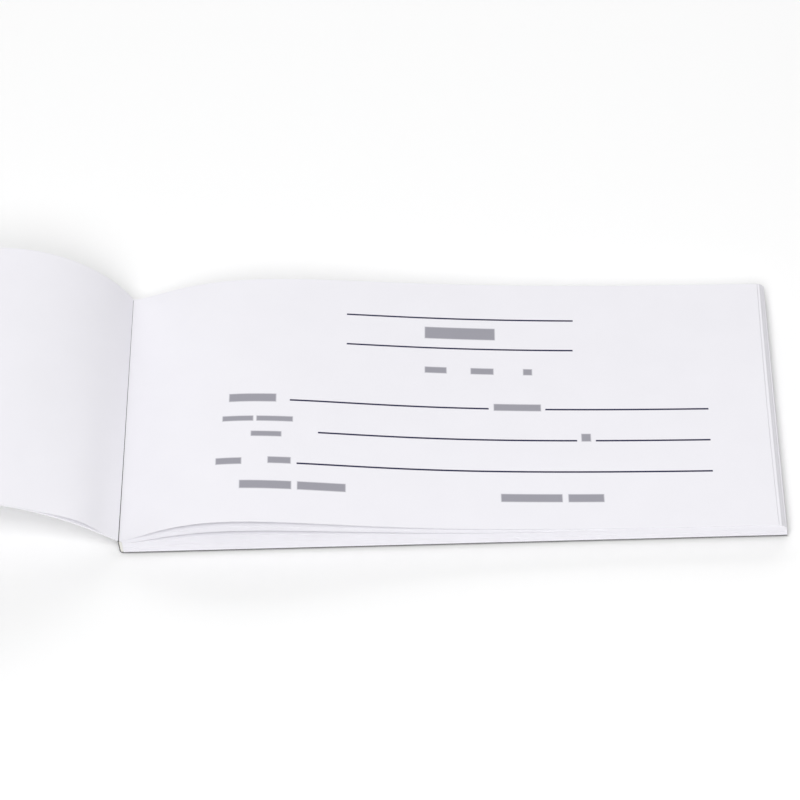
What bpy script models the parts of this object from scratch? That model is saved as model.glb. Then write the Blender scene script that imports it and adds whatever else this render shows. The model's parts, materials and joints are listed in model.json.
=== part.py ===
"""A glued voucher book lying open on a table, at real size, in metres with +Z up.

The block of leaves lies to the right of the spine. The front cover and two turned leaves arch out of
the gutter to the left and come down on the table. X runs along the leaves, with the spine at low X,
Y runs from the front edge to the back edge, and the origin is the centre of the back cover's underside.
Every sheet is a closed solid, and its object's origin lies on the line that it turns about.
"""

import math

import bpy
import numpy as np

MM = 0.001

# Leaves
LEAF_WIDTH = 175 * MM
LEAF_DEPTH = 85 * MM
LEAF_THICKNESS = 0.07 * MM
LEAF_AIR = 0.011 * MM
TURNED_LEAVES = 2
BLOCK_LEAVES = 48

# Cover and binding
COVER_THICKNESS = 0.25 * MM
BOARD_THICKNESS = 0.4 * MM
GLUE_THICKNESS = 0.8 * MM
STEPPED_LEAVES = 6
BOUND_STEP = 0.12 * MM
SEAT_GAP = 0.01 * MM

# The bow of the leaves in the block: a hump that is highest a short way out from the spine
BOW_PEAK_FRONT = 31.4 * MM
BOW_PEAK_BACK = 37.4 * MM
BOW_SHARPNESS = 1.62
BOW_BACK_GAIN = 1.01
TOP_LEAF_BOW = 7.1 * MM
BUNCH_LEAVES = 10
BUNCH_BOW_HIGH = 5.1 * MM
BUNCH_BOW_LOW = 4.2 * MM
BLOCK_BOW = 2.4 * MM
BLOCK_BOW_FADE = 1.6

# The arch of the turned sheets: an arc out of the gutter, then a straight run down to the table
ARCH_START_FRONT = math.radians(41)
ARCH_START_BACK = math.radians(63.8)
ARCH_RADIUS_FRONT = 83 * MM
ARCH_RADIUS_BACK = 40 * MM
STEEPEST_LANDING = math.radians(45)
LANDING_HALVINGS = 60
TURNED_AIR = 0.05 * MM
GUTTER_CLEARANCE = 0.05 * MM
TABLE_CLEARANCE = 0.2 * MM

# Grid along each sheet, finer towards the spine
SHEET_STEPS = 16
SHEET_STEP_GROWTH = 1.8

PAPER = ("leaf_paper", (0.90, 0.90, 0.93), 0.85)
CARD = ("cover_card", (0.87, 0.88, 0.91), 0.60)
BOARD = ("cover_board", (0.42, 0.42, 0.43), 0.80)
GLUE = ("binding_glue", (0.86, 0.85, 0.80), 0.45)

# Places that follow from the sizes above
SPINE_X = -LEAF_WIDTH / 2
LEAF_PITCH = LEAF_THICKNESS + LEAF_AIR
LOWEST_LEAF_Z = BOARD_THICKNESS + SEAT_GAP
TOP_LEAF_Z = LOWEST_LEAF_Z + (BLOCK_LEAVES - 1) * LEAF_PITCH
GLUE_TOP = LOWEST_LEAF_Z + (BLOCK_LEAVES - STEPPED_LEAVES) * LEAF_PITCH - SEAT_GAP
SPINE_TOP = TOP_LEAF_Z - SEAT_GAP
SPINE_INNER_X = SPINE_X - GLUE_THICKNESS - 2 * SEAT_GAP
SPINE_OUTER_X = SPINE_INNER_X - COVER_THICKNESS
TOP_BOUND_EDGE_X = SPINE_X - STEPPED_LEAVES * BOUND_STEP
TURNED_STACK = COVER_THICKNESS + TURNED_LEAVES * (TURNED_AIR + LEAF_THICKNESS)
GUTTER_X = TOP_BOUND_EDGE_X - GUTTER_CLEARANCE - TURNED_STACK * math.sin(ARCH_START_BACK)
GUTTER_Z = TOP_LEAF_Z


def clear_scene():
    """Removes every object that the file already holds."""
    for item in list(bpy.data.objects):
        bpy.data.objects.remove(item, do_unlink=True)


def material(finish):
    """A plain finish from a name, a colour and a roughness, made once and then shared."""
    name, colour, roughness = finish
    made = bpy.data.materials.get(name)
    if made is None:
        made = bpy.data.materials.new(name)
        made.use_nodes = True
        shader = made.node_tree.nodes["Principled BSDF"]
        shader.inputs["Base Color"].default_value = (*colour, 1.0)
        shader.inputs["Roughness"].default_value = roughness
        shader.inputs["Metallic"].default_value = 0.0
    return made


def add_object(name, vertices, faces, finish, origin):
    """One named object whose vertices are given in world places and kept relative to its origin."""
    mesh = bpy.data.meshes.new(name)
    mesh.from_pydata([tuple(p) for p in np.asarray(vertices) - np.asarray(origin)], [], faces)
    mesh.materials.append(material(finish))
    made = bpy.data.objects.new(name, mesh)
    made.location = origin
    bpy.context.collection.objects.link(made)
    return made


def slab(name, low, high, finish):
    """A flat cornered piece between two corners, with its origin at the middle of its underside."""
    corners = [(x, y, z) for z in (low[2], high[2]) for y in (low[1], high[1]) for x in (low[0], high[0])]
    faces = [(0, 2, 3, 1), (4, 5, 7, 6), (0, 1, 5, 4), (2, 6, 7, 3), (0, 4, 6, 2), (1, 3, 7, 5)]
    middle = ((low[0] + high[0]) / 2, (low[1] + high[1]) / 2, low[2])
    return add_object(name, corners, faces, finish, middle)


def sheet(name, front, back, thickness, finish, origin):
    """A bent sheet ruled between its front and back edges, given as rows of (x, z) from the spine out.

    The edges are the sheet's underside, and the thickness goes up from it, square to the surface.
    """
    count = len(front)
    rows = ((-LEAF_DEPTH / 2, front), (LEAF_DEPTH / 2, back))
    vertices = [(x, y, z) for y, row in rows for x, z in row]
    outward = front[-1][0] > front[0][0]
    faces = []
    for i in range(count - 1):
        quad = (i, i + 1, count + i + 1, count + i)
        faces.append(quad if outward else quad[::-1])
    made = add_object(name, vertices, faces, finish, origin)
    wall = made.modifiers.new("thickness", "SOLIDIFY")
    wall.thickness = thickness
    wall.offset = 1.0
    wall.use_even_offset = True
    return made


def grid(length):
    """Distances from the spine out to a length, closer together near the spine."""
    return length * np.linspace(0.0, 1.0, SHEET_STEPS + 1) ** SHEET_STEP_GROWTH


def bow(distance, back_share):
    """Height of a leaf's hump at a distance from the spine, as a share of its peak.

    The hump is (t * exp(1 - t)) to a power, with t the distance over the peak's own distance.
    back_share is 0 at the front edge and 1 at the back edge, where the peak lies further out.
    """
    peak = BOW_PEAK_FRONT + (BOW_PEAK_BACK - BOW_PEAK_FRONT) * back_share
    t = np.maximum(distance, 0.0) / peak
    gain = 1.0 + (BOW_BACK_GAIN - 1.0) * back_share
    return gain * (t * np.exp(1.0 - t)) ** BOW_SHARPNESS


def block_leaf_bow(order):
    """Peak of the hump of a leaf in the block, counted from 0 at the top.

    The top leaf stands alone, the bunch under it bows together, and the hump fades down the rest of the block.
    """
    if order == 0:
        return TOP_LEAF_BOW
    if order <= BUNCH_LEAVES:
        return BUNCH_BOW_HIGH + (BUNCH_BOW_LOW - BUNCH_BOW_HIGH) * (order - 1) / (BUNCH_LEAVES - 1)
    return BLOCK_BOW * (1.0 - (order - BUNCH_LEAVES - 1) / (BLOCK_LEAVES - BUNCH_LEAVES - 1)) ** BLOCK_BOW_FADE


def block_leaf(order):
    """A leaf to the right of the spine. The uppermost leaves step back over the top of the glue.

    It turns about the upper corner of its bound edge, so that the edge swings away from the glue.
    """
    bound_edge = -BOUND_STEP * max(STEPPED_LEAVES - order, 0)
    height = LOWEST_LEAF_Z + (BLOCK_LEAVES - 1 - order) * LEAF_PITCH
    distance = grid(LEAF_WIDTH)
    distance[0] = bound_edge
    edges = []
    for back_share in (0.0, 1.0):
        rise = block_leaf_bow(order) * bow(distance, back_share)
        edges.append(list(zip(SPINE_X + distance, height + rise)))
    name = f"leaf_{TURNED_LEAVES + 1 + order:02d}"
    hinge_line = (SPINE_X + bound_edge, 0.0, height + LEAF_THICKNESS)
    sheet(name, *edges, LEAF_THICKNESS, PAPER, hinge_line)


def landing_angle(start, radius):
    """Slope of the straight run that brings an arch of one leaf's width down to the table."""
    low = 0.0
    high = STEEPEST_LANDING
    for _ in range(LANDING_HALVINGS):
        slope = (low + high) / 2
        run = LEAF_WIDTH - radius * (start + slope)
        end = radius * (math.cos(slope) - math.cos(start)) - run * math.sin(slope)
        if GUTTER_Z + end > TABLE_CLEARANCE:
            low = slope
        else:
            high = slope
    return (low + high) / 2


def arch(back_share, lift):
    """Edge of a turned sheet from the gutter out, moved square to the arch by its lift.

    The slope falls evenly from its start along an arc, and then stays at the landing angle.
    """
    start = ARCH_START_FRONT + (ARCH_START_BACK - ARCH_START_FRONT) * back_share
    radius = ARCH_RADIUS_FRONT + (ARCH_RADIUS_BACK - ARCH_RADIUS_FRONT) * back_share
    landing = landing_angle(start, radius)
    along = grid(LEAF_WIDTH)
    slope = np.maximum(start - along / radius, -landing)
    run = np.maximum(along - radius * (start + landing), 0.0)
    out = radius * (math.sin(start) - np.sin(slope)) + run * math.cos(landing)
    up = radius * (np.cos(slope) - math.cos(start)) - run * math.sin(landing)
    return list(zip(GUTTER_X - out + lift * np.sin(slope), GUTTER_Z + up + lift * np.cos(slope)))


def turned_sheet(name, lift, thickness, finish):
    """The front cover or a turned leaf, to the left of the spine."""
    edges = [arch(back_share, lift) for back_share in (0.0, 1.0)]
    root_x = (edges[0][0][0] + edges[1][0][0]) / 2
    root_z = (edges[0][0][1] + edges[1][0][1]) / 2
    sheet(name, *edges, thickness, finish, (root_x, 0.0, root_z))


def covers_and_binding():
    """The back board, the cover's spine and the glue that holds the leaves' bound edges."""
    half = LEAF_DEPTH / 2
    slab("back_cover", (SPINE_INNER_X + SEAT_GAP, -half, 0.0), (-SPINE_X, half, BOARD_THICKNESS), BOARD)
    slab("cover_spine", (SPINE_OUTER_X, -half, 0.0), (SPINE_INNER_X, half, SPINE_TOP), CARD)
    glue_x = SPINE_X - SEAT_GAP
    glue_z = BOARD_THICKNESS + SEAT_GAP
    slab("binding_glue", (glue_x - GLUE_THICKNESS, -half, glue_z), (glue_x, half, GLUE_TOP), GLUE)


def turned_sheets():
    """The front cover lies lowest, and the leaves that were turned last lie on top of it."""
    turned_sheet("front_cover", 0.0, COVER_THICKNESS, CARD)
    lift = COVER_THICKNESS + TURNED_AIR
    for number in range(1, TURNED_LEAVES + 1):
        turned_sheet(f"leaf_{number:02d}", lift, LEAF_THICKNESS, PAPER)
        lift += LEAF_THICKNESS + TURNED_AIR


def main():
    clear_scene()
    covers_and_binding()
    turned_sheets()
    for order in range(BLOCK_LEAVES):
        block_leaf(order)


main()
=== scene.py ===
"""Finish of an open voucher book: bowed printed leaves, turned leaves, cover and glue, on a floor.

Every piece is a surface of two parameters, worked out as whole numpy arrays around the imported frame.
Lengths are in metres, +X runs from the spine to the fore-edge, +Y from the front edge to the back edge.
"""

import json
import math
from collections import namedtuple

import bpy
import numpy as np
from mathutils import Matrix, Vector


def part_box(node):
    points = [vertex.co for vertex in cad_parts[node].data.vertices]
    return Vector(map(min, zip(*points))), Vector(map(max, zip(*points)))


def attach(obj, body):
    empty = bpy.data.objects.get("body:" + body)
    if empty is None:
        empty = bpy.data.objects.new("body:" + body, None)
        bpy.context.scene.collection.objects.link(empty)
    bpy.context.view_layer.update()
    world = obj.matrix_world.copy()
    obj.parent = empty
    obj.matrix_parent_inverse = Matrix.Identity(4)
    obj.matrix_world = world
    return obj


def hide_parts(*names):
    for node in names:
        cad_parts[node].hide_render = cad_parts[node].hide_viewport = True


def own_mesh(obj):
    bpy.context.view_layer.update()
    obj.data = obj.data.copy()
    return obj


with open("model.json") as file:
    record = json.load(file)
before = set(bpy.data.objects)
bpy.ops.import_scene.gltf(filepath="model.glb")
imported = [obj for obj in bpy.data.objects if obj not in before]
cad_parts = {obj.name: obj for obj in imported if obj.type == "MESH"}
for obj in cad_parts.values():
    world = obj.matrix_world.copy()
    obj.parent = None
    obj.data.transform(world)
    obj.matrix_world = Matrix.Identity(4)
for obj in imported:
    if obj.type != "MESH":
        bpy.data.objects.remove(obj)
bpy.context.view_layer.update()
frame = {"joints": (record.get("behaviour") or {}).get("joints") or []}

bl_info = {
    "name": "Voucher Book",
    "version": (1, 0, 0),
    "blender": (4, 5, 0),
    "location": "View3D > Sidebar > Voucher Book",
    "description": "Builds the leaves, cover, glue and stage of an open voucher book",
    "category": "Object",
}

MM = 0.001

# Places and sizes that come from the frame
LOWEST_LEAF = "leaf_50"
LOWEST_LEAF_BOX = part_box(LOWEST_LEAF)
LEAF_SIZE = LOWEST_LEAF_BOX[1] - LOWEST_LEAF_BOX[0]
SPINE_X = LOWEST_LEAF_BOX[0].x
FRONT_Y = LOWEST_LEAF_BOX[0].y
BACK_COVER_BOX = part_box("back_cover")
SPINE_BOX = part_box("cover_spine")
GLUE_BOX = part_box("binding_glue")
HINGES = {joint["child"]: Vector(joint["pos_m"]) for joint in frame["joints"]}
GUTTER = HINGES["front_cover"]
TURNED_LEAVES = ("leaf_01", "leaf_02")
BLOCK_LEAVES = sorted(
    name for name in HINGES if name.startswith("leaf") and name not in TURNED_LEAVES
)

# Grids: points along a sheet and across its depth
TOP_LEAF_GRID = (160, 25)
BLOCK_LEAF_GRID = (56, 9)
TURNED_GRID = (120, 17)
BAR_STEPS = 61
FOLD_STEPS = 9
SPINE_DENSITY = 1.7
EDGE_SHARE = 0.001
SHEET_UV = "sheet_uv"
UNDER, UPPER, RIM = 0, 1, 2

# Shapes that aren't meant to be changed
TRIM_SEED = 50
STEEPEST_LANDING = math.pi / 4
LANDING_HALVINGS = 50
TROUGH_RAMP = 0.2
GLUE_SEAT = 0.01 * MM
GLUE_RIPPLE_TURN = 41.0

# Fibres of each finish: depth of its mottle, grains in a millimetre, roughness and strength of bump
Fibre = namedtuple("Fibre", "mottle grain roughness bump")
PAPER_FIBRE = Fibre(mottle=0.035, grain=3.0, roughness=0.82, bump=0.25)
CARD_FIBRE = Fibre(mottle=0.05, grain=1.4, roughness=0.62, bump=0.35)
BOARD_FIBRE = Fibre(mottle=0.25, grain=0.8, roughness=0.85, bump=0.5)
GLUE_FIBRE = Fibre(mottle=0.08, grain=0.9, roughness=0.45, bump=0.3)
SHEET_SPECULAR = 0.25
BAR_SPECULAR = 0.3
BUMP_HEIGHT = 0.02 * MM

# The fibres' noise: its mean, how strands are drawn out, and what the parts add to each other
NOISE_MEAN = 0.5
STRAND_STRETCH = (0.35, 2.2, 2.2)
STRAND_HEIGHT = 0.8
FINE_MOTTLE = 0.5
ROUGHNESS_SPREAD = 0.16

# Sockets of a Mix node that mixes colours
MIX_FACTOR, MIX_FIRST, MIX_SECOND, MIX_RESULT = 0, 6, 7, 2

# Where the lamps stand, as an azimuth from the front towards the right and an elevation
LAMPS = {
    "key": (math.radians(-8), math.radians(52)),
    "back": (math.radians(180), math.radians(20)),
    "top": (math.radians(180), math.radians(50)),
}
VIEW_TARGET = Vector((-14.09, 7.19, 0.0)) * MM
SENSOR_WIDTH = 36.0
VIEW_REACH = 20.0
FLOOR_ROUGHNESS = 0.9

# The printed form, in millimetres along the leaf from the spine and back from its front edge.
# A rule has its ends and its place, a bar its ends and its front and back.
RULES = {
    "above_heading": ((61.1, 123.4), 72.25),
    "below_heading": ((61.2, 123.1), 61.5),
    "first_line": ((46.1, 99.8), 40.6),
    "first_line_end": ((115.1, 159.1), 40.6),
    "second_line": ((53.8, 123.3), 29.85),
    "second_line_end": ((128.3, 159.0), 29.85),
    "third_line": ((48.2, 158.9), 19.2),
}
BARS = {
    "heading": ((82.6, 101.8), (64.9, 69.0)),
    "row_a": ((82.6, 88.5), (52.6, 54.7)),
    "row_b": ((95.1, 101.3), (52.6, 54.7)),
    "row_c": ((109.4, 111.8), (52.6, 54.7)),
    "first_line": ((29.8, 42.4), (39.9, 42.6)),
    "first_line_gap": ((101.2, 113.9), (40.0, 42.3)),
    "second_line_a": ((28.2, 36.4), (33.2, 34.9)),
    "second_line_b": ((37.3, 47.0), (33.2, 34.9)),
    "second_line_c": ((35.9, 44.0), (28.0, 29.7)),
    "second_line_gap": ((124.5, 127.0), (29.6, 32.2)),
    "third_line_a": ((26.7, 33.5), (18.6, 20.7)),
    "third_line_b": ((40.5, 46.6), (19.0, 21.1)),
    "left_foot_a": ((33.1, 46.8), (10.6, 13.2)),
    "left_foot_b": ((48.4, 61.2), (10.6, 13.2)),
    "right_foot_a": ((102.4, 118.6), (9.1, 11.7)),
    "right_foot_b": ((120.2, 129.6), (9.1, 11.7)),
}
RULE_EDGE = 0.06
BAR_EDGE = 0.35


# Properties


def length(name, default, description):
    """A length that the user may change."""
    return bpy.props.FloatProperty(
        name=name, description=description, default=default, unit="LENGTH", precision=5
    )


def angle(name, degrees, description):
    """An angle that the user may change."""
    return bpy.props.FloatProperty(
        name=name, description=description, default=math.radians(degrees), subtype="ANGLE"
    )


def power(name, default, description):
    """A lamp's power in watts that the user may change."""
    return bpy.props.FloatProperty(
        name=name, description=description, default=default, unit="POWER", precision=2
    )


def share(name, default, description):
    """A share of a whole that the user may change."""
    return bpy.props.FloatProperty(
        name=name, description=description, default=default, subtype="FACTOR", precision=3,
        min=0.0, max=1.0,
    )


def plain(name, default, description):
    """A plain number that the user may change."""
    return bpy.props.FloatProperty(name=name, description=description, default=default, precision=3)


def colour(name, default, description):
    """A colour that the user may change."""
    return bpy.props.FloatVectorProperty(
        name=name, description=description, default=default, subtype="COLOR", size=3,
        min=0.0, max=1.0,
    )


class VOUCHER_PG_sheets(bpy.types.PropertyGroup):
    """Sizes of the sheets and of the way they lie."""

    leaf_thickness: length("Leaf thickness", LEAF_SIZE.z, "Thickness of one leaf")
    cover_thickness: length(
        "Cover thickness", SPINE_BOX[1].x - SPINE_BOX[0].x,
        "Thickness of the front cover and of the spine's strip",
    )
    board_thickness: length(
        "Board thickness", BACK_COVER_BOX[1].z, "Thickness of the back cover's board"
    )
    top_bow: length("Top leaf bow", 7.1 * MM, "Height of the hump of the top leaf")
    bunch_leaves: bpy.props.IntProperty(
        name="Bunch leaves", description="Leaves under the top one that bow together",
        default=10, min=2,
    )
    bunch_bow_high: length(
        "Upper bunch bow", 5.1 * MM, "Height of the hump of the bunch's uppermost leaf"
    )
    bunch_bow_low: length(
        "Lower bunch bow", 4.2 * MM, "Height of the hump of the bunch's lowest leaf"
    )
    block_bow: length(
        "Block bow", 2.4 * MM, "Height of the hump of the leaf under the bunch, which fades further down"
    )
    block_fade: plain("Block fade", 1.6, "How fast the hump fades from leaf to leaf down the block")
    peak_front: length(
        "Front peak", 31.4 * MM, "Distance from the spine to the hump's top at the front edge"
    )
    peak_back: length(
        "Back peak", 37.4 * MM, "Distance from the spine to the hump's top at the back edge"
    )
    bow_sharpness: plain("Bow sharpness", 1.62, "Power that narrows the hump")
    back_gain: share("Back gain", 0.01, "Share by which the hump is higher at the back edge")
    middle_gain: share("Middle gain", 0.12, "Share by which the hump is higher halfway back")
    arch_start_front: angle(
        "Front arch start", 41, "Slope of the turned sheets at the gutter's front end"
    )
    arch_start_back: angle(
        "Back arch start", 63.8, "Slope of the turned sheets at the gutter's back end"
    )
    arch_radius_front: length("Front arch radius", 83 * MM, "Radius of the arch at the front edge")
    arch_radius_back: length("Back arch radius", 40 * MM, "Radius of the arch at the back edge")
    table_clearance: length(
        "Table clearance", -0.9 * MM, "Height at which the turned sheets come down"
    )
    turned_gap: length(
        "Turned gap", 1.2 * MM, "Air under the last turned leaf where it leaves the gutter"
    )
    turned_gap_peak: length(
        "Turned gap place", 13 * MM, "Distance from the gutter to the widest air"
    )
    turned_gap_sharpness: plain(
        "Turned gap sharpness", 6.0, "Power that narrows the air under the last turned leaf"
    )
    trim_jitter: length("Trim jitter", 0.05 * MM, "How far the leaves' edges stray from each other")
    block_lean: length(
        "Block lean", 0.2 * MM, "How far the lowest leaf has slid away from the spine"
    )
    block_skew: length(
        "Block skew", 0.7 * MM, "How far the lowest leaf's bound edge has slid towards the front"
    )
    spine_lean: angle("Spine lean", 5, "Lean of the cover's spine towards the turned leaves")
    fold_radius: length(
        "Fold radius", 0.8 * MM, "Radius of the fold between the spine and the back cover"
    )
    back_bow: length(
        "Back cover bow", 0.95 * MM, "How far the middle of the back cover hangs below its edges"
    )
    glue_ripple: length("Glue ripple", 0.05 * MM, "Unevenness of the glue's upper face")


class VOUCHER_PG_finish(bpy.types.PropertyGroup):
    """Colours of the paper, card, back cover, glue and print. The dark grey of the back cover and the
    spine's strip is painted shadow, and the grey by the spine on the printed side is painted shade.
    """

    paper: colour("Paper", (0.836, 0.827, 0.869), "Colour of the leaves")
    card: colour("Card", (0.820, 0.816, 0.842), "Colour of the front cover")
    # Painted shadow: this dark grey on the back cover and the spine's strip stands for the contact
    # shadow along the foot of the block.
    painted_shadow_board: colour(
        "Board", (0.10, 0.10, 0.102), "Colour of the back cover's board and of the spine's strip"
    )
    glue: colour("Glue", (0.73, 0.72, 0.68), "Colour of the binding glue")
    ink: colour("Ink", (0.020, 0.018, 0.060), "Colour of the printed form")
    rule_width: length("Rule width", 0.54 * MM, "Thickness of the printed rules")
    bar_strength: share("Bar strength", 0.62, "How dark the form's plain bars are printed")
    print_skew: share("Print skew", 0.006, "Slope of the print against the leaf's front edge")
    # Painted shade: the printed side greys towards the spine, where the gutter's shade falls.
    gutter_shade_strength: share(
        "Painted gutter shade", 0.11, "How much soaked-in glue greys the printed side at the spine"
    )
    gutter_shade_reach: length(
        "Gutter shade reach", 3.0 * MM, "Distance from the spine over which the grey falls to a third"
    )


class VOUCHER_PG_stage(bpy.types.PropertyGroup):
    """The floor, the lights and the camera."""

    floor_colour: colour("Floor", (0.97, 0.97, 0.97), "Colour of the floor")
    floor_width: length("Floor width", 6.0, "Width of the floor")
    floor_drop: length(
        "Floor drop", 1.0 * MM, "Air under the edges of the back cover, which hangs lower further in"
    )
    sky_strength: plain("Sky strength", 0.2, "Brightness of the even light from all round")
    key_power: power("Key power", 15.1, "Power of the lamp high at the front")
    back_power: power("Back power", 13.4, "Power of the lamp low at the back")
    top_power: power("Top power", 1.8, "Power of the lamp high at the back")
    lamp_size: length("Lamp size", 0.9, "Height of each lamp, and width of all but the back one")
    back_lamp_width: length("Back lamp width", 2.6, "Width of the lamp low at the back")
    lamp_distance: length("Lamp distance", 1.3, "Distance from the book to each lamp")
    view_azimuth: angle("View azimuth", 1.967, "Turn of the camera about the vertical")
    view_elevation: angle("View elevation", 50.02, "Height of the camera above the horizon")
    view_roll: angle("View roll", -2.881, "Turn of the camera about its own axis")
    view_distance: length("View distance", 0.9283, "Distance from the camera to its target")
    lens: bpy.props.FloatProperty(
        name="Lens", description="Focal length of the camera", default=152.96, unit="CAMERA"
    )


# Surfaces


def sphere_point(azimuth, elevation):
    """A unit vector, turned from the front (-Y) to the right by its azimuth and up by its elevation."""
    flat = math.cos(elevation)
    return Vector((math.sin(azimuth) * flat, -math.cos(azimuth) * flat, math.sin(elevation)))


def cross_steps(count):
    """Even shares from 0 to 1, with one more by each end so that the rim doesn't round the shading."""
    return np.concatenate(((0.0,), np.linspace(EDGE_SHARE, 1.0 - EDGE_SHARE, count - 2), (1.0,)))


def spine_steps(count):
    """Shares of a sheet's width from 0 to 1, closer together near the spine."""
    return cross_steps(count) ** SPINE_DENSITY


def over_grid(*parts):
    """One array over the whole grid from coordinates that may change along one of its axes only."""
    return np.stack(np.broadcast_arrays(*parts), axis=2)


def hump(t, sharpness):
    """A hump that rises from 0 to 1 at t = 1 and dies away slowly: (t * e^(1 - t)) to a power."""
    t = np.maximum(t, 0.0)
    return (t * np.exp(1.0 - t)) ** sharpness


def running_sum(steps):
    """Sums along the first axis that start at 0 and end after the last step."""
    return np.concatenate((np.zeros_like(steps[:1]), np.cumsum(steps, axis=0)))


def leaf_bow(sizes, order):
    """Height of the hump of a leaf in the block, counted from 0 at the top.

    The top leaf stands alone, the bow falls evenly through the bunch under it, and then fades as a
    power of the depth.
    """
    if order == 0:
        return sizes.top_bow
    if order <= sizes.bunch_leaves:
        depth = (order - 1) / (sizes.bunch_leaves - 1)
        return sizes.bunch_bow_high + (sizes.bunch_bow_low - sizes.bunch_bow_high) * depth
    depth = (order - sizes.bunch_leaves - 1) / (len(BLOCK_LEAVES) - sizes.bunch_leaves - 1)
    return sizes.block_bow * (1.0 - depth) ** sizes.block_fade


def block_leaf_grid(sizes, order, hinge, trim):
    """Underside of a leaf in the block, and its (u, v) shares, on a grid of s along and v across it.

    The height is z(s, v) = root + bow * gain(v) * hump(s / peak(v)), and x(s, v) is the integral of
    sqrt(1 - (dz/ds)^2) ds, so that a bowed leaf keeps its flat width and its fore-edge draws back.
    The deeper a leaf lies, the further it has slid from the spine, and its bound edge to the front.
    """
    along, across = TOP_LEAF_GRID if order == 0 else BLOCK_LEAF_GRID
    u = spine_steps(along)[:, None]
    v = cross_steps(across)
    s = u * LEAF_SIZE.x
    peak = sizes.peak_front + (sizes.peak_back - sizes.peak_front) * v
    gain = 1.0 + sizes.back_gain * v + sizes.middle_gain * 4.0 * v * (1.0 - v)
    rise = leaf_bow(sizes, order) * gain * hump(s / peak, sizes.bow_sharpness)
    ahead = np.sqrt(np.diff(s, axis=0) ** 2 - np.diff(rise, axis=0) ** 2)
    depth = order / (len(BLOCK_LEAVES) - 1)
    x = hinge.x + sizes.block_lean * depth + running_sum(ahead) + trim[0] * u
    y = FRONT_Y + LEAF_SIZE.y * v + trim[1] - sizes.block_skew * depth * (1.0 - u)
    z = hinge.z - sizes.leaf_thickness + rise
    return over_grid(x, y, z), over_grid(u, v)


def landing_slope(start, radius, drop):
    """Slope of the straight run that brings an arch of one leaf's width down by drop, by halving."""
    low = np.zeros_like(start)
    high = np.full_like(start, STEEPEST_LANDING)
    for _ in range(LANDING_HALVINGS):
        slope = (low + high) / 2
        run = LEAF_SIZE.x - radius * (start + slope)
        end = radius * (np.cos(slope) - np.cos(start)) - run * np.sin(slope)
        low = np.where(end > -drop, slope, low)
        high = np.where(end > -drop, high, slope)
    return (low + high) / 2


def turned_grid(sizes, lift, gap):
    """Underside of a turned sheet, and its (u, v) shares, on a grid of s along and v across it.

    The slope falls evenly from its start at the gutter, a(s) = start - s / radius, down to the landing
    slope, and x and z are the integrals of its cosine and sine. The sheet stands off the arch by lift,
    and by a hump of gap that dies away as (1 - v)^3 from the front edge back.
    """
    along, across = TURNED_GRID
    u = spine_steps(along)[:, None]
    v = cross_steps(across)
    s = u * LEAF_SIZE.x
    start = sizes.arch_start_front + (sizes.arch_start_back - sizes.arch_start_front) * v
    radius = sizes.arch_radius_front + (sizes.arch_radius_back - sizes.arch_radius_front) * v
    landing = landing_slope(start, radius, GUTTER.z - sizes.table_clearance)
    slope = np.maximum(start - s / radius, -landing)
    run = np.maximum(s - radius * (start + landing), 0.0)
    out = radius * (np.sin(start) - np.sin(slope)) + run * np.cos(landing)
    up = radius * (np.cos(slope) - np.cos(start)) - run * np.sin(landing)
    off = lift + gap * (1.0 - v) ** 3 * hump(s / sizes.turned_gap_peak, sizes.turned_gap_sharpness)
    x = GUTTER.x - out + off * np.sin(slope)
    y = FRONT_Y + LEAF_SIZE.y * v
    z = GUTTER.z + up + off * np.cos(slope)
    return over_grid(x, y, z), over_grid(u, v)


def back_cover_grid(sizes):
    """Underside of the back cover, and its (u, v) shares, from the end of the spine's fold.

    It hangs in a trough z = -bow * (1 - (2v - 1)^2), which deepens as a square away from the fold.
    """
    along, across = BLOCK_LEAF_GRID
    u = cross_steps(along)[:, None]
    v = cross_steps(across)
    line, _ = spine_profile(sizes)
    left = line[0, 0]
    x = left + (BACK_COVER_BOX[1].x + sizes.block_lean - left) * u
    y = FRONT_Y + LEAF_SIZE.y * v - sizes.block_skew * (1.0 - u)
    z = -sizes.back_bow * (1.0 - (2.0 * v - 1.0) ** 2) * np.clip(u / TROUGH_RAMP, 0.0, 1.0) ** 2
    return over_grid(x, y, z), over_grid(u, v)


def spine_profile(sizes):
    """Middle line of the spine's strip, from its foot up, as rows of (x, z), and its unit normals.

    It is an arc of the fold radius, p = centre + r * (-sin a, -cos a) for a from 0 to a right angle less
    the lean, and then a straight run up to the spine's top.
    """
    low, high = SPINE_BOX
    lean = sizes.spine_lean
    radius = sizes.fold_radius
    bend = np.linspace(0.0, math.pi / 2 - lean, FOLD_STEPS)
    normals = np.stack((-np.sin(bend), -np.cos(bend)), axis=1)
    centre_z = sizes.cover_thickness / 2 + radius
    climb = high.z - centre_z + radius * math.sin(lean)
    centre_x = (low.x + high.x) / 2 + radius * math.cos(lean) + climb * math.tan(lean)
    arc = np.array((centre_x, centre_z)) + radius * normals
    run = np.linspace(0.0, climb, FOLD_STEPS)[1:, None] * np.array((-math.tan(lean), 1.0))
    line = np.concatenate((arc, arc[-1] + run))
    return line, np.concatenate((normals, np.repeat(normals[-1:], len(run), axis=0)))


def spine_outline(sizes):
    """Outline of the spine's strip, half its thickness to each side of the middle line, at both ends."""
    line, normals = spine_profile(sizes)
    reach = normals * sizes.cover_thickness / 2
    outline = np.concatenate((line + reach, (line - reach)[::-1]))
    return np.stack((outline, outline))


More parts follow.
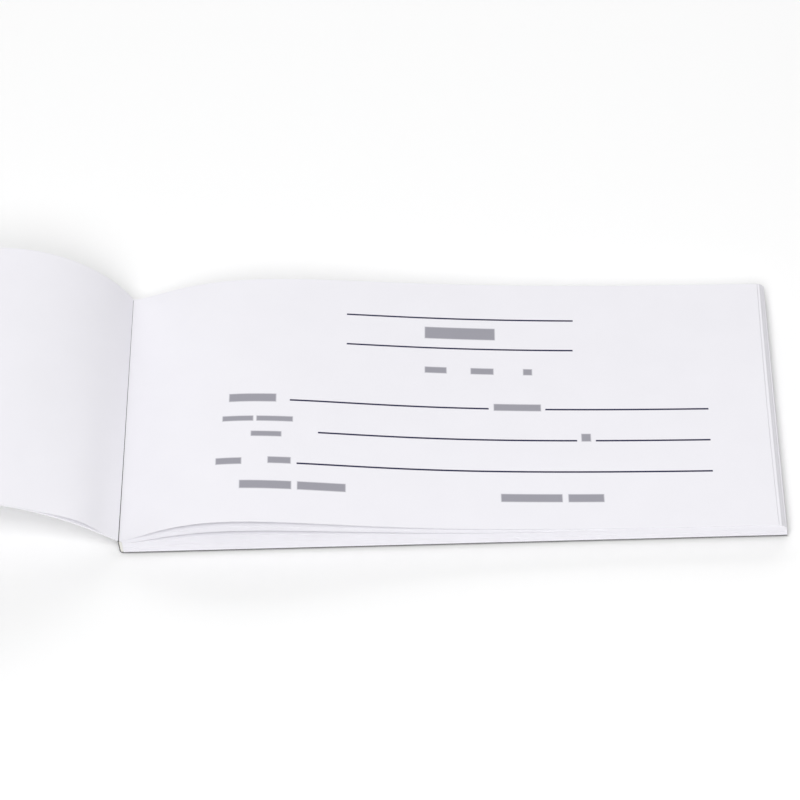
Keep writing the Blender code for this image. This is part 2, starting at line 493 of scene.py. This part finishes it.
def glue_outline(sizes):
    """Outline of the room between the spine and the bound edges, for each step along Y.

    Its top is a sine of the step, which dips and swells, and its right side leans as the leaves do.
    """
    line, normals = spine_profile(sizes)
    inside = line - normals * (sizes.cover_thickness / 2 + GLUE_SEAT)
    low, high = GLUE_BOX
    swell = 0.5 + 0.5 * np.sin(np.linspace(0.0, GLUE_RIPPLE_TURN, BAR_STEPS))
    top = high.z - sizes.glue_ripple * swell
    foot = inside[FOLD_STEPS // 2, 1]
    z = foot + (top[:, None] - foot) * np.linspace(0.0, 1.0, FOLD_STEPS)
    left = np.interp(z, inside[:, 1], inside[:, 0])
    slid = sizes.block_lean * (1.0 - (z - low.z) / (high.z - low.z)).clip(0.0, 1.0)
    right = SPINE_X - GLUE_SEAT + slid
    around_x = np.concatenate((left, right[:, ::-1]), axis=1)
    around_z = np.concatenate((z, z[:, ::-1]), axis=1)
    return over_grid(around_x, around_z)


# Meshes


def quads(index):
    """Corners of the squares of a grid of point numbers."""
    corners = (index[:-1, :-1], index[1:, :-1], index[1:, 1:], index[:-1, 1:])
    return np.stack(corners, axis=-1).reshape(-1, 4)


def border(index):
    """Point numbers round the edge of a grid, once."""
    return np.concatenate((index[:-1, 0], index[-1, :-1], index[:0:-1, -1], index[0, :0:-1]))


def add_object(name, points, faces, finishes):
    """One object at the origin, whose place is in its mesh."""
    mesh = bpy.data.meshes.new(name)
    mesh.from_pydata(points, [], faces)
    for finish in finishes:
        mesh.materials.append(finish)
    made = bpy.data.objects.new(name, mesh)
    bpy.context.scene.collection.objects.link(made)
    return made


def add_sheet(name, grid, thickness, finishes, face=UPPER):
    """A closed sheet: a grid, the same grid moved up by thickness along its normals, and a rim between.

    The first finish goes on the face that is named, and the last on the rest.
    """
    under, shares = grid
    normal = np.cross(np.gradient(under, axis=0), np.gradient(under, axis=1))
    normal /= np.linalg.norm(normal, axis=2, keepdims=True)
    turned = normal[..., 2].mean() < 0
    over = under + thickness * (-normal if turned else normal)
    index = np.arange(under.shape[0] * under.shape[1]).reshape(under.shape[:2])
    flat = quads(index)
    edge = border(index)
    after = np.roll(edge, -1)
    rim = np.stack((edge, after, after + index.size, edge + index.size), axis=1)
    faces = np.concatenate((flat + index.size, flat[:, ::-1], rim))
    if turned:
        faces = faces[:, ::-1]
    points = np.concatenate((under.reshape(-1, 3), over.reshape(-1, 3)))
    made = add_object(name, points.tolist(), faces.tolist(), finishes)
    mesh = made.data
    side = np.repeat((UPPER, UNDER, RIM), (len(flat), len(flat), len(rim)))
    chosen = np.where(side == face, 0, len(finishes) - 1)
    mesh.polygons.foreach_set("material_index", chosen.astype(np.int32))
    mesh.polygons.foreach_set("use_smooth", side != RIM)
    corners = np.empty(len(mesh.loops), np.int32)
    mesh.loops.foreach_get("vertex_index", corners)
    placed = np.tile(shares.reshape(-1, 2), (2, 1))[corners]
    mesh.uv_layers.new(name=SHEET_UV).uv.foreach_set("vector", placed.astype(np.float32).ravel())
    mesh.update()
    return made


def add_bar(name, outline, skew, finish):
    """A closed bar: an outline of (x, z) points for each step along Y, from edge to edge.

    Its foot stands to the front by skew, as the lowest leaf's bound edge does.
    """
    steps, count = outline.shape[:2]
    x, z = outline[..., 0], outline[..., 1]
    slid = skew * (1.0 - z / SPINE_BOX[1].z).clip(0.0, 1.0)
    y = FRONT_Y + LEAF_SIZE.y * np.linspace(0.0, 1.0, steps)[:, None] - slid
    index = np.arange(steps * count).reshape(steps, count)
    sides = quads(np.concatenate((index, index[:, :1]), axis=1))
    faces = [*sides.tolist(), index[0].tolist(), index[-1, ::-1].tolist()]
    anticlockwise = (x[0] * np.roll(z[0], -1) - z[0] * np.roll(x[0], -1)).sum() > 0
    if not anticlockwise:
        faces = [face[::-1] for face in faces]
    return add_object(name, over_grid(x, y, z).reshape(-1, 3).tolist(), faces, (finish,))


def put_on_body(piece, node, body):
    """Puts a piece on its body, in place of its solid."""
    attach(piece, body)
    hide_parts(node)


def flatten(piece):
    """Gives a turned sheet a mesh of its own."""
    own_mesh(piece)


# Finishes


def feed(tree, node, inputs):
    """Links or sets a node's inputs."""
    for key, value in inputs.items():
        if isinstance(value, bpy.types.NodeSocket):
            tree.links.new(value, node.inputs[key])
        else:
            node.inputs[key].default_value = value


def add_node(tree, kind, inputs, **settings):
    """One shader node with its options and inputs."""
    made = tree.nodes.new(kind)
    for key, value in settings.items():
        setattr(made, key, value)
    feed(tree, made, inputs)
    return made


def maths(tree, operation, first, second=0.0, third=0.0, clamp=False):
    """The result of one Math node."""
    inputs = {0: first, 1: second, 2: third}
    return add_node(tree, "ShaderNodeMath", inputs, operation=operation, use_clamp=clamp).outputs[0]


def vector_maths(tree, operation, first, second=(0.0, 0.0, 0.0)):
    """The vector result of one Vector Math node."""
    inputs = {0: first, 1: second}
    return add_node(tree, "ShaderNodeVectorMath", inputs, operation=operation).outputs[0]


def scaled(tree, vector, factor):
    """A vector or colour times a number."""
    inputs = {0: vector, "Scale": factor}
    return add_node(tree, "ShaderNodeVectorMath", inputs, operation="SCALE").outputs[0]


def noise(tree, spot, scale, detail):
    """The value of one Noise Texture node."""
    inputs = {"Vector": spot, "Scale": scale, "Detail": detail}
    return add_node(tree, "ShaderNodeTexNoise", inputs).outputs[0]


def new_group(name, inputs, outputs):
    """An empty node group with named sockets, its inputs' sockets by name and its output node."""
    tree = bpy.data.node_groups.new(name, "ShaderNodeTree")
    for socket, kind in inputs.items():
        tree.interface.new_socket(socket, in_out="INPUT", socket_type=kind)
    for socket, kind in outputs.items():
        tree.interface.new_socket(socket, in_out="OUTPUT", socket_type=kind)
    enter = tree.nodes.new("NodeGroupInput")
    return tree, enter.outputs, tree.nodes.new("NodeGroupOutput")


def fibre_group():
    """Paper fibres over a place in millimetres: a mottled colour, a roughness and a height.

    The height is fine noise plus noise drawn out along the grain, the colour is scaled by 1 plus the
    mottle times wide and fine noise about their mean, and the roughness follows the strands.
    """
    name = "Paper fibres"
    if name in bpy.data.node_groups:
        return bpy.data.node_groups[name]
    tree, given, leave = new_group(
        name,
        {
            "Place": "NodeSocketVector",
            "Colour": "NodeSocketColor",
            "Mottle": "NodeSocketFloat",
            "Grain": "NodeSocketFloat",
            "Roughness": "NodeSocketFloat",
        },
        {"Colour": "NodeSocketColor", "Roughness": "NodeSocketFloat", "Height": "NodeSocketFloat"},
    )
    drawn_out = vector_maths(tree, "MULTIPLY", given["Place"], STRAND_STRETCH)
    wide = noise(tree, given["Place"], scale=0.09, detail=3.0)
    fine = noise(tree, given["Place"], scale=given["Grain"], detail=4.0)
    strands = noise(tree, drawn_out, scale=given["Grain"], detail=2.0)
    cloudy = maths(tree, "MULTIPLY_ADD", fine, FINE_MOTTLE, wide)
    uneven = maths(tree, "SUBTRACT", cloudy, NOISE_MEAN * (1.0 + FINE_MOTTLE))
    tone = maths(tree, "ADD", maths(tree, "MULTIPLY", uneven, given["Mottle"]), 1.0)
    change = maths(tree, "SUBTRACT", strands, NOISE_MEAN)
    feed(tree, leave, {
        "Colour": scaled(tree, given["Colour"], tone),
        "Roughness": maths(tree, "MULTIPLY_ADD", change, ROUGHNESS_SPREAD, given["Roughness"]),
        "Height": maths(tree, "MULTIPLY_ADD", strands, STRAND_HEIGHT, fine),
    })
    return tree


def bar_group():
    """A printed bar: a mask that is 1 inside a box and falls to 0 over a soft edge.

    With d the larger of |x - centre| - half size over both axes, the mask is 0.5 - d / edge, held to
    0 and 1.
    """
    name = "Printed bar"
    if name in bpy.data.node_groups:
        return bpy.data.node_groups[name]
    tree, given, leave = new_group(
        name,
        {
            "Place": "NodeSocketVector",
            "Centre": "NodeSocketVector",
            "Half size": "NodeSocketVector",
            "Edge": "NodeSocketFloat",
        },
        {"Mask": "NodeSocketFloat"},
    )
    offset = vector_maths(tree, "SUBTRACT", given["Place"], given["Centre"])
    beyond = vector_maths(tree, "SUBTRACT", vector_maths(tree, "ABSOLUTE", offset), given["Half size"])
    parts = add_node(tree, "ShaderNodeSeparateXYZ", {0: beyond}).outputs
    far = maths(tree, "MAXIMUM", parts[0], parts[1])
    mask = maths(tree, "SUBTRACT", 0.5, maths(tree, "DIVIDE", far, given["Edge"]), clamp=True)
    feed(tree, leave, {"Mask": mask})
    return tree


def form_and_shade_group(finish):
    """The printed form over a place in millimetres: a mask of its rules and of its plain bars.

    Its shade is 1 - strength * e^(-x / reach), a painted shade that greys the printed side towards the
    spine, where the gutter's shade falls.
    """
    name = "Printed form"
    if name in bpy.data.node_groups:
        return bpy.data.node_groups[name]
    tree, given, leave = new_group(
        name, {"Place": "NodeSocketVector"}, {"Mask": "NodeSocketFloat", "Shade": "NodeSocketFloat"}
    )
    along, back = add_node(tree, "ShaderNodeSeparateXYZ", {0: given["Place"]}).outputs[:2]
    skewed = maths(tree, "MULTIPLY_ADD", along, finish.print_skew, back)
    level = maths(tree, "SUBTRACT", skewed, finish.print_skew * LEAF_SIZE.x / MM / 2)
    straight = add_node(tree, "ShaderNodeCombineXYZ", {0: along, 1: level}).outputs[0]
    half_rule = finish.rule_width / MM / 2
    boxes = [(ends, (at - half_rule, at + half_rule), 1.0, RULE_EDGE) for ends, at in RULES.values()]
    boxes += [(ends, depth, finish.bar_strength, BAR_EDGE) for ends, depth in BARS.values()]
    mask = 0.0
    for (left, right), (near, far), strength, edge in boxes:
        inputs = {
            "Place": straight,
            "Centre": ((left + right) / 2, (near + far) / 2, 0.0),
            "Half size": ((right - left) / 2, (far - near) / 2, 0.0),
            "Edge": edge,
        }
        printed = add_node(tree, "ShaderNodeGroup", inputs, node_tree=bar_group()).outputs[0]
        mask = maths(tree, "MAXIMUM", maths(tree, "MULTIPLY", printed, strength), mask)
    # Painted shade by the spine, falling off over the reach.
    gutter_falloff = maths(tree, "EXPONENT", maths(tree, "MULTIPLY", along, -MM / finish.gutter_shade_reach))
    shade = maths(tree, "MULTIPLY_ADD", gutter_falloff, -finish.gutter_shade_strength, 1.0)
    feed(tree, leave, {"Mask": mask, "Shade": shade})
    return tree


def sheet_spot(tree):
    """A place on a sheet in millimetres, along it from the spine and back from its front edge."""
    shares = add_node(tree, "ShaderNodeUVMap", {}, uv_map=SHEET_UV).outputs[0]
    return vector_maths(tree, "MULTIPLY", shares, (LEAF_SIZE.x / MM, LEAF_SIZE.y / MM, 0.0))


def bar_spot(tree):
    """A place on a bar in millimetres, in the object's own axes."""
    spot = add_node(tree, "ShaderNodeTexCoord", {}).outputs["Object"]
    return vector_maths(tree, "MULTIPLY", spot, (1 / MM, 1 / MM, 1 / MM))


def fibrous_material(name, tint, fibre, specular, find_spot, printed_with=None):
    """A finish of the shared fibres over the spots that are found. Where a print is given, it is printed
    and darkened by painted shade towards the spine.
    """
    if name in bpy.data.materials:
        return bpy.data.materials[name]
    made = bpy.data.materials.new(name)
    made.use_nodes = True
    tree = made.node_tree
    spot = find_spot(tree)
    inputs = {
        "Place": spot,
        "Colour": (*tint, 1.0),
        "Mottle": fibre.mottle,
        "Grain": fibre.grain,
        "Roughness": fibre.roughness,
    }
    fibres = add_node(tree, "ShaderNodeGroup", inputs, node_tree=fibre_group()).outputs
    surface = fibres["Colour"]
    if printed_with:
        group = form_and_shade_group(printed_with)
        form = add_node(tree, "ShaderNodeGroup", {"Place": spot}, node_tree=group).outputs
        inputs = {
            MIX_FACTOR: form["Mask"],
            # The paper's colour darkened by the painted gutter shade.
            MIX_FIRST: scaled(tree, surface, form["Shade"]),
            MIX_SECOND: (*printed_with.ink, 1.0),
        }
        surface = add_node(tree, "ShaderNodeMix", inputs, data_type="RGBA").outputs[MIX_RESULT]
    inputs = {"Height": fibres["Height"], "Strength": fibre.bump, "Distance": BUMP_HEIGHT}
    relief = add_node(tree, "ShaderNodeBump", inputs).outputs[0]
    feed(tree, tree.nodes["Principled BSDF"], {
        "Base Color": surface,
        "Roughness": fibres["Roughness"],
        "Normal": relief,
        "Specular IOR Level": specular,
    })
    return made


def leaf_finishes(finish):
    """The side of a leaf that carries the form and the painted gutter shade, and its blank side."""
    given = (finish.paper, PAPER_FIBRE, SHEET_SPECULAR, sheet_spot)
    return fibrous_material("printed_paper", *given, finish), fibrous_material("plain_paper", *given)


def card(finish):
    """The front cover's card, coarser and a little smoother to the light than the paper."""
    return fibrous_material("cover_card_finish", finish.card, CARD_FIBRE, SHEET_SPECULAR, sheet_spot)


def painted_shadow_board(finish):
    """The back cover's finish: a dark grey with a coarse mottle, painted shadow that stands for the
    contact shadow along the foot of the block.
    """
    return fibrous_material("back_cover_painted_shadow", finish.painted_shadow_board, BOARD_FIBRE, SHEET_SPECULAR, sheet_spot)


def spine_painted_shadow_board(finish):
    """The same dark grey of painted shadow on the strip round the spine."""
    return fibrous_material("spine_strip_painted_shadow", finish.painted_shadow_board, BOARD_FIBRE, BAR_SPECULAR, bar_spot)


def glue(finish):
    """The binding glue, clouded and half glossy."""
    return fibrous_material("glue_finish", finish.glue, GLUE_FIBRE, BAR_SPECULAR, bar_spot)


# Operators


class VOUCHER_OT_block_leaves(bpy.types.Operator):
    """Adds the leaves to the right of the spine, each printed on its upper side"""

    bl_idname = "voucher.block_leaves"
    bl_label = "Block Leaves"

    def execute(self, context):
        sizes = context.scene.voucher_sheets
        finishes = leaf_finishes(context.scene.voucher_finish)
        stray = np.random.default_rng(TRIM_SEED).uniform(-1.0, 1.0, (len(BLOCK_LEAVES), 2))
        stray *= sizes.trim_jitter
        stray[:, 0] -= sizes.trim_jitter
        for order, leaf in enumerate(BLOCK_LEAVES):
            hinge = HINGES[leaf]
            grid = block_leaf_grid(sizes, order, hinge, stray[order])
            piece = add_sheet(f"{leaf}_sheet", grid, sizes.leaf_thickness, finishes)
            put_on_body(piece, leaf, leaf)
            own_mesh(piece)
        return {"FINISHED"}


class VOUCHER_OT_turned_leaves(bpy.types.Operator):
    """Adds the leaves that were turned to the left, with their printed side under"""

    bl_idname = "voucher.turned_leaves"
    bl_label = "Turned Leaves"

    def execute(self, context):
        sizes = context.scene.voucher_sheets
        finishes = leaf_finishes(context.scene.voucher_finish)
        for turn, leaf in enumerate(TURNED_LEAVES):
            lift = (HINGES[leaf] - GUTTER).length
            grid = turned_grid(sizes, lift, sizes.turned_gap * turn)
            piece = add_sheet(f"{leaf}_sheet", grid, sizes.leaf_thickness, finishes, face=UNDER)
            put_on_body(piece, leaf, leaf)
            flatten(piece)
        return {"FINISHED"}


class VOUCHER_OT_cover(bpy.types.Operator):
    """Adds the cover: its turned card front, its back board and the strip round its spine"""

    bl_idname = "voucher.cover"
    bl_label = "Cover"

    def execute(self, context):
        sizes = context.scene.voucher_sheets
        finish = context.scene.voucher_finish
        self.front(sizes, finish)
        self.back(sizes, finish)
        self.spine(sizes, finish)
        return {"FINISHED"}

    def front(self, sizes, finish):
        """The card under the turned leaves."""
        grid = turned_grid(sizes, 0.0, 0.0)
        piece = add_sheet("front_cover_card", grid, sizes.cover_thickness, (card(finish),))
        put_on_body(piece, "front_cover", "front_cover")
        flatten(piece)

    def back(self, sizes, finish):
        """The board under the block."""
        grid = back_cover_grid(sizes)
        piece = add_sheet("back_cover_board", grid, sizes.board_thickness, (painted_shadow_board(finish),))
        put_on_body(piece, "back_cover", "block")

    def spine(self, sizes, finish):
        """The strip behind the glue, with the fold that leads it under the block."""
        outline = spine_outline(sizes)
        piece = add_bar("cover_spine_strip", outline, sizes.block_skew, spine_painted_shadow_board(finish))
        put_on_body(piece, "cover_spine", "block")


class VOUCHER_OT_glue(bpy.types.Operator):
    """Adds the glue that holds the bound edges"""

    bl_idname = "voucher.glue"
    bl_label = "Glue"

    def execute(self, context):
        sizes = context.scene.voucher_sheets
        finish = context.scene.voucher_finish
        piece = add_bar("glue_bead", glue_outline(sizes), sizes.block_skew, glue(finish))
        put_on_body(piece, "binding_glue", "block")
        return {"FINISHED"}


class VOUCHER_OT_stage(bpy.types.Operator):
    """Adds the floor, the lights and the camera"""

    bl_idname = "voucher.stage"
    bl_label = "Stage"

    def execute(self, context):
        scene = context.scene
        stage = scene.voucher_stage
        self.floor(stage)
        self.lights(scene, stage)
        self.camera(scene, stage)
        scene.view_settings.view_transform = "Standard"
        return {"FINISHED"}

    def floor(self, stage):
        """A pale matte floor just under the book."""
        finish = bpy.data.materials.new("pale_floor")
        finish.use_nodes = True
        feed(finish.node_tree, finish.node_tree.nodes["Principled BSDF"], {
            "Base Color": (*stage.floor_colour, 1.0),
            "Roughness": FLOOR_ROUGHNESS,
            "Specular IOR Level": 0.0,
        })
        half = stage.floor_width / 2
        around = ((-half, -half), (half, -half), (half, half), (-half, half))
        corners = [(x, y, -stage.floor_drop) for x, y in around]
        add_object("floor", corners, [(0, 1, 2, 3)], (finish,))

    def lights(self, scene, stage):
        """Even light from all round, and three large soft lamps."""
        sky = bpy.data.worlds.new("studio")
        sky.use_nodes = True
        feed(sky.node_tree, sky.node_tree.nodes["Background"], {
            "Color": (1.0, 1.0, 1.0, 1.0),
            "Strength": stage.sky_strength,
        })
        scene.world = sky
        lamps = {
            "key": (stage.key_power, stage.lamp_size),
            "back": (stage.back_power, stage.back_lamp_width),
            "top": (stage.top_power, stage.lamp_size),
        }
        for name, (watts, width) in lamps.items():
            lamp = bpy.data.lights.new(name, "AREA")
            lamp.shape = "RECTANGLE"
            lamp.size = width
            lamp.size_y = stage.lamp_size
            lamp.energy = watts
            made = bpy.data.objects.new(name, lamp)
            made.location = sphere_point(*LAMPS[name]) * stage.lamp_distance
            made.rotation_euler = made.location.to_track_quat("Z", "Y").to_euler()
            made.visible_camera = False
            scene.collection.objects.link(made)

    def camera(self, scene, stage):
        """The photograph's view: a long lens, looking down at the right-hand page."""
        lens = bpy.data.cameras.new("camera")
        lens.lens = stage.lens
        lens.sensor_width = SENSOR_WIDTH
        lens.clip_end = VIEW_REACH
        made = bpy.data.objects.new("camera", lens)
        back = sphere_point(stage.view_azimuth, stage.view_elevation)
        stand = Matrix.Translation(VIEW_TARGET + back * stage.view_distance)
        aim = back.to_track_quat("Z", "Y").to_matrix().to_4x4()
        made.matrix_world = stand @ aim @ Matrix.Rotation(stage.view_roll, 4, "Z")
        scene.collection.objects.link(made)
        scene.camera = made


class VOUCHER_PT_panel(bpy.types.Panel):
    """The book's buttons and sizes in the sidebar"""

    bl_idname = "VOUCHER_PT_panel"
    bl_label = "Voucher Book"
    bl_space_type = "VIEW_3D"
    bl_region_type = "UI"
    bl_category = "Voucher Book"

    def draw(self, context):
        for operator in OPERATORS:
            self.layout.operator(operator.bl_idname)
        for scene_name, group in GROUPS.items():
            column = self.layout.column()
            for name in group.__annotations__:
                column.prop(getattr(context.scene, scene_name), name)


GROUPS = {
    "voucher_sheets": VOUCHER_PG_sheets,
    "voucher_finish": VOUCHER_PG_finish,
    "voucher_stage": VOUCHER_PG_stage,
}
OPERATORS = (
    VOUCHER_OT_block_leaves,
    VOUCHER_OT_turned_leaves,
    VOUCHER_OT_cover,
    VOUCHER_OT_glue,
    VOUCHER_OT_stage,
)
CLASSES = (*GROUPS.values(), *OPERATORS, VOUCHER_PT_panel)


def register():
    """Makes the sizes, the operators and the panel known to Blender."""
    for kind in CLASSES:
        bpy.utils.register_class(kind)
    for name, group in GROUPS.items():
        setattr(bpy.types.Scene, name, bpy.props.PointerProperty(type=group))


def unregister():
    """Takes them away again, in the opposite order."""
    for name in GROUPS:
        delattr(bpy.types.Scene, name)
    for kind in reversed(CLASSES):
        bpy.utils.unregister_class(kind)


def main():
    """Builds the book and its stage, and keeps their sizes."""
    register()
    bpy.ops.voucher.block_leaves()
    bpy.ops.voucher.turned_leaves()
    bpy.ops.voucher.cover()
    bpy.ops.voucher.glue()
    bpy.ops.voucher.stage()


if __name__ == "__main__":
    main()
